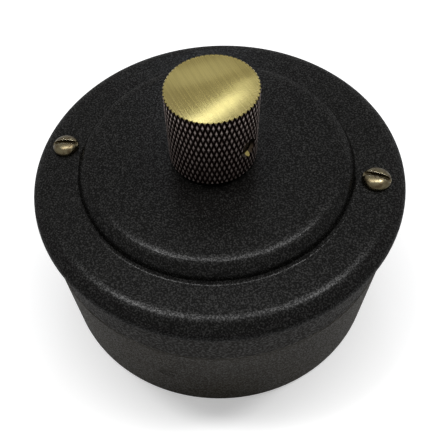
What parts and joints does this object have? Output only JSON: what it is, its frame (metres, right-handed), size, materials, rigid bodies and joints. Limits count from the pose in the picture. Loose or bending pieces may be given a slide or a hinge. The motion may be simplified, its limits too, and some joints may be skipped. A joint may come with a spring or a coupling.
{
  "type": "rotary dimmer",
  "caption": "Round surface-mounted rotary dimmer: textured black metal box, spacer ring and raised cover, slotted dome screws and a diamond-knurled brass push knob.",
  "frame": {"origin": "centre of the box's face against the wall", "axes": "+Z out of the wall along the knob's spindle, +X through the right-hand cover screw"},
  "size_m": [0.1, 0.1, 0.0767],
  "materials": {
    "case_paint": "fine-textured satin black paint",
    "knob_brass": "brushed top, dark antiqued knurl",
    "screw_bronze": "aged, slightly tarnished",
    "plain_brass": "machined",
    "steel": "zinc plated",
    "aluminium": "machined",
    "black_plastic": "moulded",
    "white_nylon": "moulded",
    "board_laminate": "satin",
    "carbon": "matt carbon film",
    "contact_bronze": "sprung strip",
    "epoxy": "moulded",
    "ferrite": "matt",
    "copper_wire": "enamelled",
    "capacitor_case": "moulded",
    "grommet_rubber": "matt"
  },
  "bodies": {
    "case": {"wall_box": "case_paint", "spacer_ring": "case_paint", "cover": "case_paint", "cover_screws": "screw_bronze", "screw_inserts": "plain_brass", "earth_terminal": "plain_brass", "terminal_clamps": "plain_brass", "threaded_bush": "plain_brass", "bush_nut": "plain_brass", "lock_washer": "steel", "plate_screws": "steel", "triac_screw": "steel", "terminal_screws": "steel", "earth_screw": "steel", "heat_sink_plate": "aluminium", "module_housing": "black_plastic", "potentiometer_shell": "black_plastic", "terminal_block": "black_plastic", "switch_body": "black_plastic", "circuit_board": "board_laminate", "switch_base": "board_laminate", "resistor_track": "carbon", "triac": "epoxy", "choke_core": "ferrite", "choke_coil": "copper_wire", "suppression_capacitor": "capacitor_case", "board_fuse": "epoxy", "cable_grommet": "grommet_rubber"},
    "plunger": {"push_slider": "white_nylon", "return_spring": "steel"},
    "knob_shaft": {"spindle": "aluminium", "spindle_clip": "steel", "knob": "knob_brass", "grub_screw": "steel"},
    "rotor": {"wiper_rotor": "white_nylon", "wiper_contact": "contact_bronze"}
  },
  "joints": [
    {"name": "knob_push", "type": "slide", "parent": "case", "child": "plunger", "axis": [0, 0, -1], "range_m": [0, 0.0006], "stiffness_N_per_m": 2500, "springref_m": -0.0008, "deforming": ["return_spring"]},
    {"name": "knob_turn", "type": "hinge", "parent": "plunger", "child": "knob_shaft", "pos_m": [0, 0, 0.06], "axis": [0, 0, -1], "range_deg": [0, 270]},
    {"name": "rotor_turn", "type": "hinge", "parent": "case", "child": "rotor", "pos_m": [0, 0, 0.038], "axis": [0, 0, -1], "range_deg": [0, 270]}
  ],
  "couplings": [
    {"joint": "rotor_turn", "follows": "knob_turn", "ratio": 1}
  ]
}
